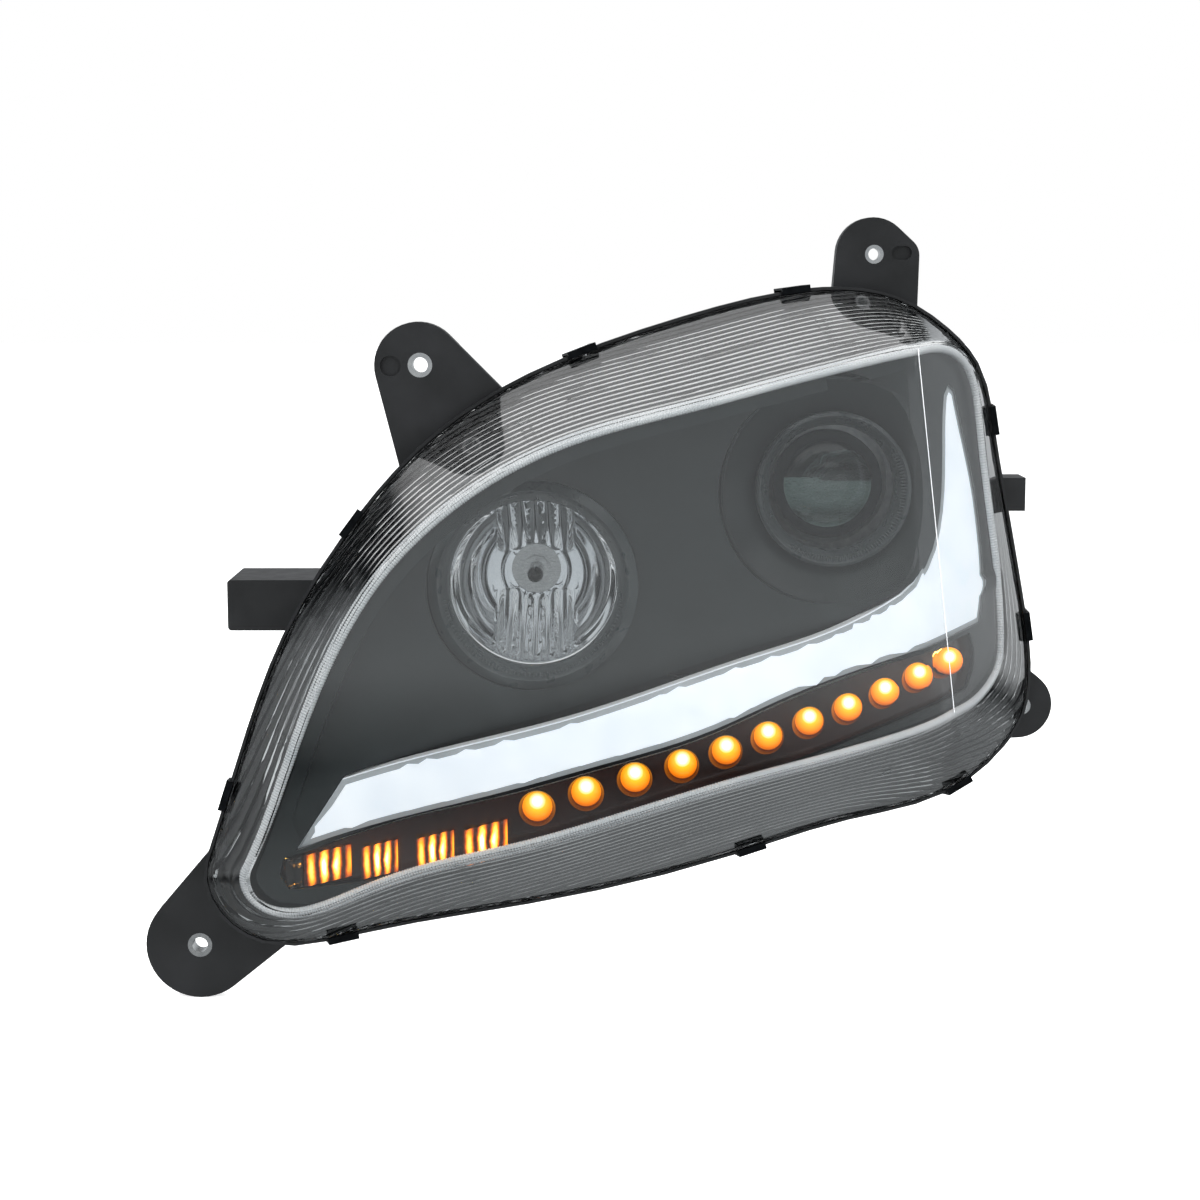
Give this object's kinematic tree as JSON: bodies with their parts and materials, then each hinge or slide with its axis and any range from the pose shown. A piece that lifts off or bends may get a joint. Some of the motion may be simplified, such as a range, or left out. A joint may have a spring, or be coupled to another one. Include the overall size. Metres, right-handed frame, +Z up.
{
  "type": "vehicle headlight assembly",
  "caption": "Left-hand truck headlamp: ribbed clear lens, black bezel, reflector high beam, projector low beam, white daytime blade, amber turn strip and four-tab rear housing.",
  "frame": {"origin": "centre of the lower inner bolt hole, at the front face of its tab", "axes": "+X along the lamp's length towards the outer side of the truck, +Z up, +Y backwards, so the lamp shines along -Y and the bolts run along Y"},
  "size_m": [0.6427, 0.3396, 0.5302],
  "materials": {
    "clear_lens": "hard-coated clear polycarbonate, fine ribs on its sides",
    "seal_black": "butyl sealant",
    "clip_steel": "black spring steel",
    "housing_black": "grained black polypropylene",
    "sleeve_steel": "zinc-plated steel",
    "bezel_black": "smooth black bezel",
    "ring_black": "smooth black trim ring",
    "diffuser_white": "milky light guide",
    "box_white": "white reflecting box",
    "board": "white solder mask",
    "led_white": "LED package",
    "turn_chrome": "vacuum-metallised plastic",
    "cell_clear": "fluted clear pane",
    "led_amber": "amber LED package",
    "carrier_grey": "glass-filled nylon",
    "nylon_white": "acetal",
    "stud_zinc": "zinc-plated steel",
    "knob_black": "moulded nylon",
    "reflector_chrome": "vacuum-metallised bowl",
    "bulb_glass": "quartz glass",
    "bulb_base": "stainless base with plastic plug",
    "lens_glass": "polished borosilicate",
    "retainer_black": "black spring ring",
    "cast_alloy": "die-cast",
    "shield_steel": "stamped sheet",
    "cap_black": "moulded cap",
    "cap_rubber": "silicone ring",
    "connector_grey": "moulded socket",
    "pin_brass": "tinned contact",
    "driver_alloy": "finned cast box",
    "gasket": "foam gasket",
    "screw_steel": "zinc-plated screw"
  },
  "bodies": {
    "housing": {"outer_lens": "clear_lens", "lens_seal": "seal_black", "lens_clips": "clip_steel", "rear_housing": "housing_black", "mounting_sleeves": "sleeve_steel", "bezel": "bezel_black", "high_beam_ring": "ring_black", "low_beam_ring": "ring_black", "daytime_blade": "diffuser_white", "daytime_light_box": "box_white", "daytime_board": "board", "daytime_leds": "led_white", "turn_reflector": "turn_chrome", "turn_cell_lenses": "cell_clear", "turn_board": "board", "turn_leds": "led_amber", "pivot_stud": "stud_zinc", "cap_seals": "cap_rubber", "main_connector": "connector_grey", "connector_pins": "pin_brass", "light_driver": "driver_alloy", "driver_gasket": "gasket", "driver_screws": "screw_steel", "bezel_screws": "screw_steel", "vent_caps": "cap_rubber"},
    "bush": {"pivot_bush": "nylon_white"},
    "carrier": {"aim_carrier": "carrier_grey", "adjuster_sockets": "nylon_white", "high_beam_reflector": "reflector_chrome", "projector_lens": "lens_glass", "lens_retainer": "retainer_black", "projector_holder": "cast_alloy", "cutoff_shield": "shield_steel", "projector_reflector": "reflector_chrome", "carrier_screws": "screw_steel"},
    "high_bulb": {"high_beam_bulb_glass": "bulb_glass", "high_beam_bulb_base": "bulb_base"},
    "low_bulb": {"low_beam_bulb_glass": "bulb_glass", "low_beam_bulb_base": "bulb_base"},
    "vertical_stud": {"vertical_adjuster_stud": "stud_zinc"},
    "horizontal_stud": {"horizontal_adjuster_stud": "stud_zinc"},
    "vertical_knob": {"vertical_adjuster_knob": "knob_black"},
    "horizontal_knob": {"horizontal_adjuster_knob": "knob_black"},
    "high_cap": {"high_beam_cap": "cap_black"},
    "low_cap": {"low_beam_cap": "cap_black"}
  },
  "joints": [
    {"name": "aim_sideways", "type": "hinge", "parent": "housing", "child": "bush", "pos_m": [0.33, 0.125, 0.185], "axis": [0, 0, 1], "range_deg": [-2.5, 2.5]},
    {"name": "aim_up_down", "type": "hinge", "parent": "bush", "child": "carrier", "pos_m": [0.33, 0.125, 0.185], "axis": [1, 0, 0], "range_deg": [-3, 3]},
    {"name": "vertical_stud_slide", "type": "slide", "parent": "housing", "child": "vertical_stud", "axis": [0, 1, 0], "range_m": [-0.0095, 0.0095]},
    {"name": "horizontal_stud_slide", "type": "slide", "parent": "housing", "child": "horizontal_stud", "axis": [0, 1, 0], "range_m": [-0.007, 0.007]},
    {"name": "vertical_knob_turn", "type": "hinge", "parent": "housing", "child": "vertical_knob", "pos_m": [0.33, 0.2, 0.355], "axis": [0, 1, 0], "range_deg": [-1610, 1610]},
    {"name": "horizontal_knob_turn", "type": "hinge", "parent": "housing", "child": "horizontal_knob", "pos_m": [0.48, 0.2, 0.185], "axis": [0, 1, 0], "range_deg": [-1186, 1186]},
    {"name": "high_bulb_twist", "type": "hinge", "parent": "carrier", "child": "high_bulb", "pos_m": [0.229, 0.07, 0.251], "axis": [0, 1, 0], "range_deg": [0, 45]},
    {"name": "low_bulb_twist", "type": "hinge", "parent": "carrier", "child": "low_bulb", "pos_m": [0.43, 0.18, 0.31], "axis": [0, 1, 0], "range_deg": [0, 45]},
    {"name": "high_cap_turn", "type": "hinge", "parent": "housing", "child": "high_cap", "pos_m": [0.229, 0.176, 0.251], "axis": [0, 1, 0], "range_deg": [0, 45]},
    {"name": "low_cap_turn", "type": "hinge", "parent": "housing", "child": "low_cap", "pos_m": [0.43, 0.242, 0.31], "axis": [0, 1, 0], "range_deg": [0, 45]}
  ],
  "couplings": [
    {"joint": "vertical_stud_slide", "follows": "aim_up_down", "m_per_rad": -0.17},
    {"joint": "horizontal_stud_slide", "follows": "aim_sideways", "m_per_rad": 0.15},
    {"joint": "vertical_knob_turn", "follows": "aim_up_down", "ratio": 534.07},
    {"joint": "horizontal_knob_turn", "follows": "aim_sideways", "ratio": -471.24}
  ]
}
